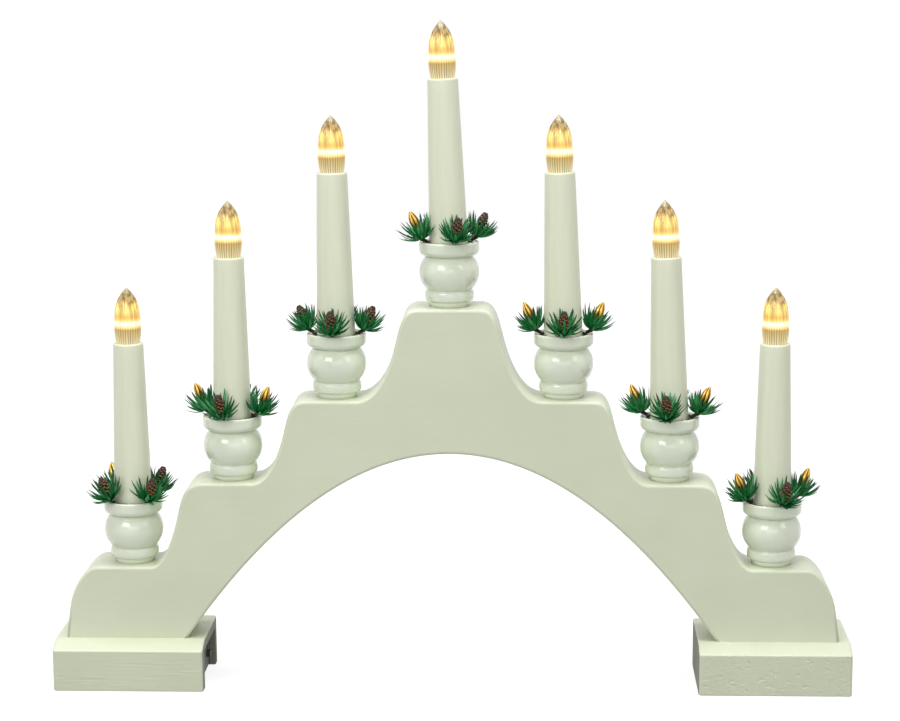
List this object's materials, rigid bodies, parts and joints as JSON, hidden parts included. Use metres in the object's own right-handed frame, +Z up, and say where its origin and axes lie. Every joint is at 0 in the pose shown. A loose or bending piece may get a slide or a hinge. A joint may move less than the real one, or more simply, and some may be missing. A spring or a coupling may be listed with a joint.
{
  "type": "candle arch",
  "caption": "Stepped wooden arch on two block feet, with turned cups that hold battery-lit plastic candles, each ringed with artificial pine and small cones.",
  "frame": {"origin": "centre of the two feet's footprint, on the table", "axes": "+X along the arch to the viewer's right, +Z up, the bevelled front faces -Y"},
  "size_m": [0.4, 0.05, 0.3327],
  "materials": {
    "white_lacquered_wood": "white lacquer, satin, glossy on the cups",
    "ivory_plastic": "satin ivory",
    "clear_plastic": "clear moulded plastic, lit from inside",
    "lit_resin": "warm white, lit",
    "green_plastic": "dark green strips on brown wire",
    "brown_cone": "brown with paler scale edges",
    "gold_cone": "bright gold",
    "black_plastic": "fine grain",
    "lead_sheath": "smooth insulation",
    "battery_wrap": "plain dark wrap",
    "nickel_steel": "nickel plated",
    "zinc_steel": "bright zinc",
    "foam_tape": "white foam"
  },
  "bodies": {
    "arch": {"arch_board": "white_lacquered_wood", "left_foot": "white_lacquered_wood", "right_foot": "white_lacquered_wood", "groove_strip": "white_lacquered_wood", "foot_screws": "zinc_steel", "main_lead": "lead_sheath", "candle_wires": "lead_sheath", "battery_box": "black_plastic", "battery_1": "battery_wrap", "battery_2": "battery_wrap", "contact_plates": "nickel_steel", "contact_springs": "nickel_steel", "box_tape": "foam_tape", "switch_body": "black_plastic", "brown_cones": "brown_cone", "gold_cones": "gold_cone", "cup_1": "white_lacquered_wood", "candle_tube_1": "ivory_plastic", "flame_lens_1": "clear_plastic", "led_1": "lit_resin", "pine_ring_1": "green_plastic", "cup_2": "white_lacquered_wood", "candle_tube_2": "ivory_plastic", "flame_lens_2": "clear_plastic", "led_2": "lit_resin", "pine_ring_2": "green_plastic", "cup_3": "white_lacquered_wood", "candle_tube_3": "ivory_plastic", "flame_lens_3": "clear_plastic", "led_3": "lit_resin", "pine_ring_3": "green_plastic", "cup_4": "white_lacquered_wood", "candle_tube_4": "ivory_plastic", "flame_lens_4": "clear_plastic", "led_4": "lit_resin", "pine_ring_4": "green_plastic", "cup_5": "white_lacquered_wood", "candle_tube_5": "ivory_plastic", "flame_lens_5": "clear_plastic", "led_5": "lit_resin", "pine_ring_5": "green_plastic", "cup_6": "white_lacquered_wood", "candle_tube_6": "ivory_plastic", "flame_lens_6": "clear_plastic", "led_6": "lit_resin", "pine_ring_6": "green_plastic", "cup_7": "white_lacquered_wood", "candle_tube_7": "ivory_plastic", "flame_lens_7": "clear_plastic", "led_7": "lit_resin", "pine_ring_7": "green_plastic"},
    "battery_cover": {"battery_cover": "black_plastic"},
    "power_switch": {"switch_knob": "black_plastic"}
  },
  "joints": [
    {"name": "battery_cover_slide", "type": "slide", "parent": "arch", "child": "battery_cover", "axis": [1, 0, 0], "range_m": [0, 0.067]},
    {"name": "power_switch_slide", "type": "slide", "parent": "arch", "child": "power_switch", "axis": [0, 0, 1], "range_m": [0, 0.003]}
  ]
}
